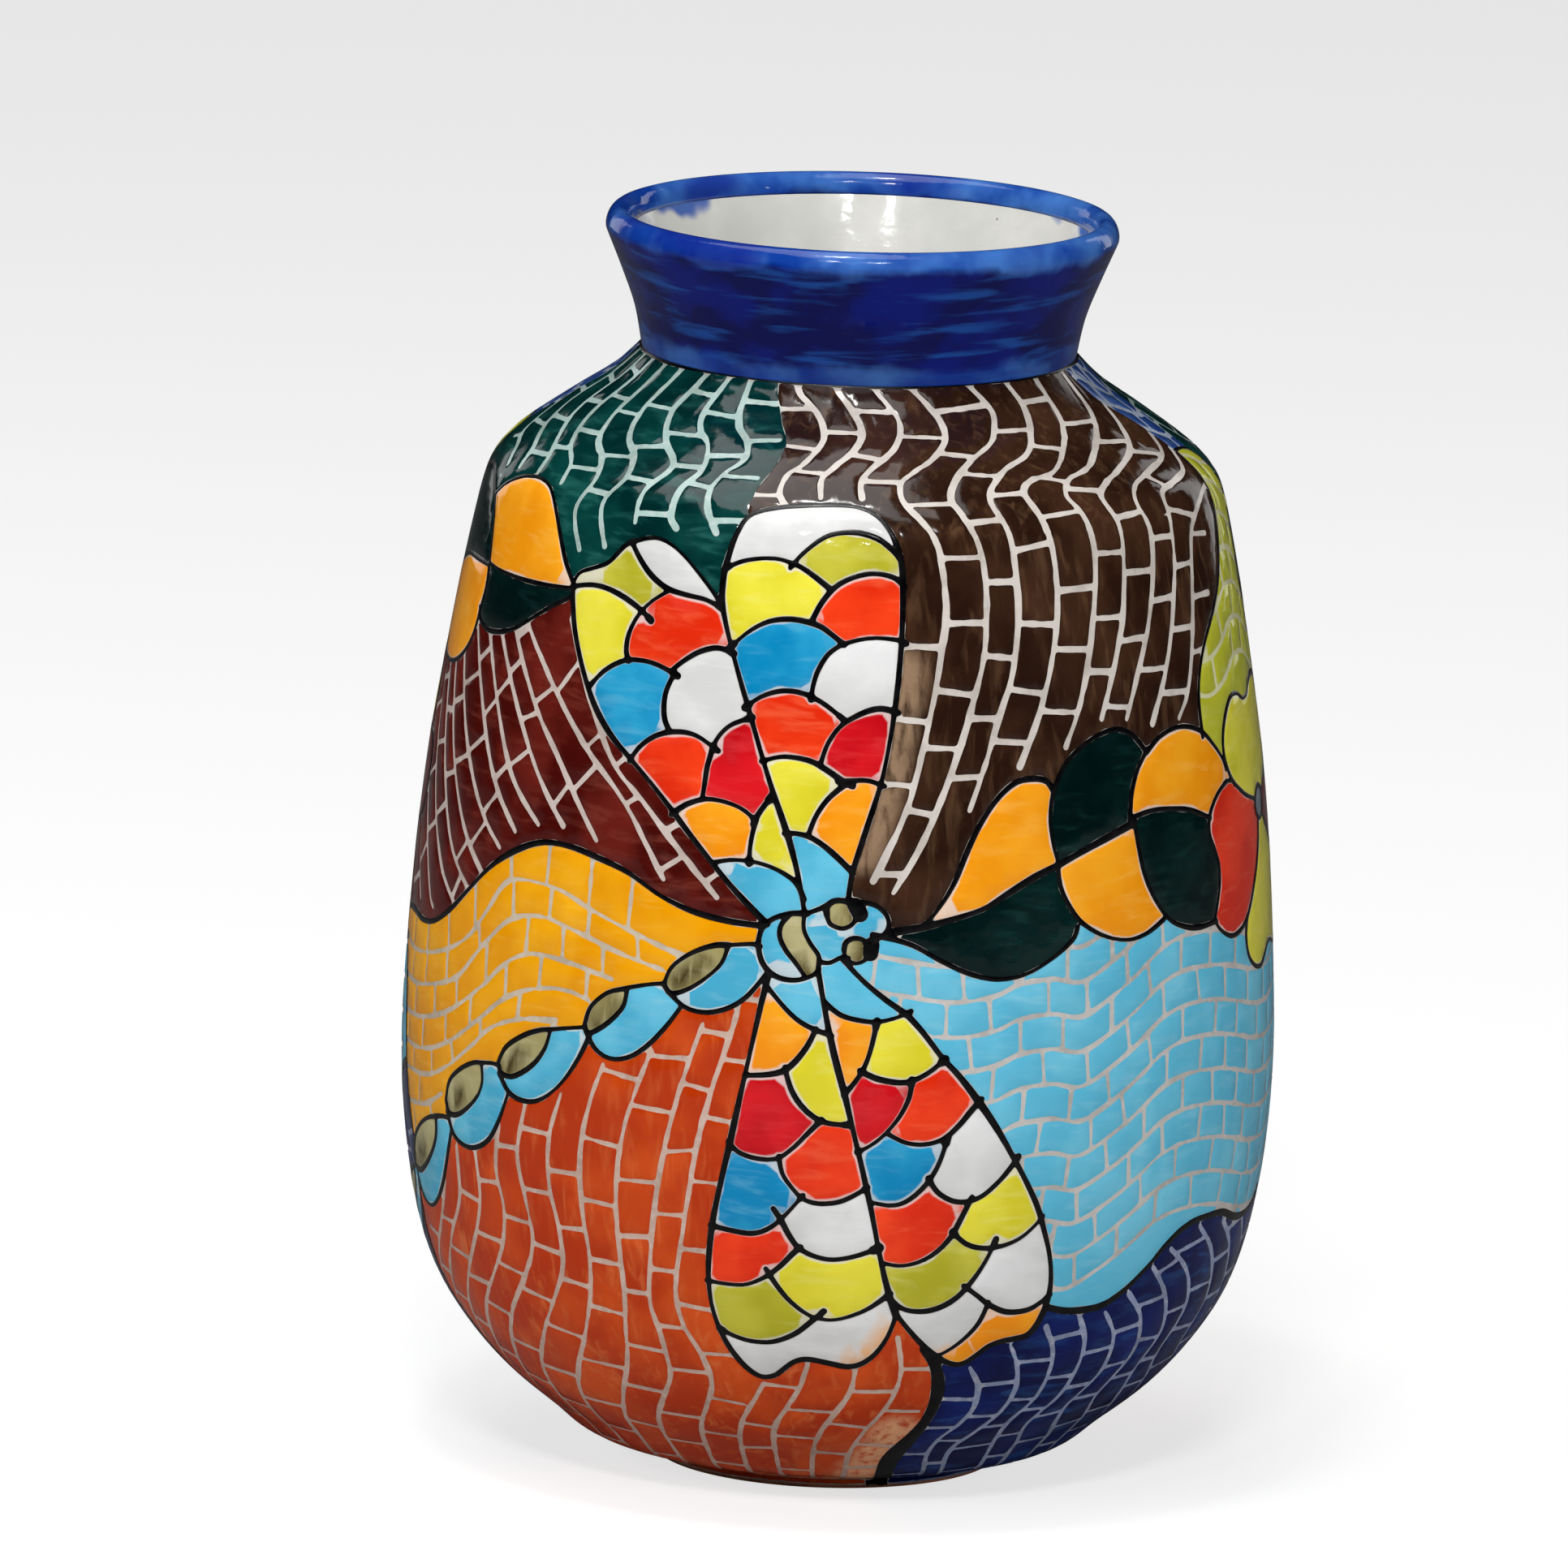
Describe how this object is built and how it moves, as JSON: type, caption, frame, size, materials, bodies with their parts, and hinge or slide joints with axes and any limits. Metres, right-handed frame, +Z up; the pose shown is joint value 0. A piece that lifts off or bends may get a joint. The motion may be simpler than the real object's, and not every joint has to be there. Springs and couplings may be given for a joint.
{
  "type": "talavera pottery vase",
  "caption": "Round-bellied glazed pottery vase with a flared collar and a small foot ring, painted with dragonflies over brick-pattern enamel fields.",
  "frame": {"origin": "centre of the circle that the foot ring stands on, on the table", "axes": "+Z up along the vase's axis; the front, with the main dragonfly, faces -Y; +X is to the viewer's right"},
  "size_m": [0.216, 0.216, 0.312],
  "materials": {
    "terracotta": "matte",
    "white_glaze": "gloss",
    "ground_glaze": "gloss",
    "cobalt_glaze": "gloss"
  },
  "bodies": {
    "root": {"foot_ring": "terracotta", "lower_body": "terracotta", "upper_body": "terracotta", "collar": "terracotta", "inner_glaze": "white_glaze", "body_glaze": "ground_glaze", "collar_glaze": "cobalt_glaze"}
  },
  "joints": []
}
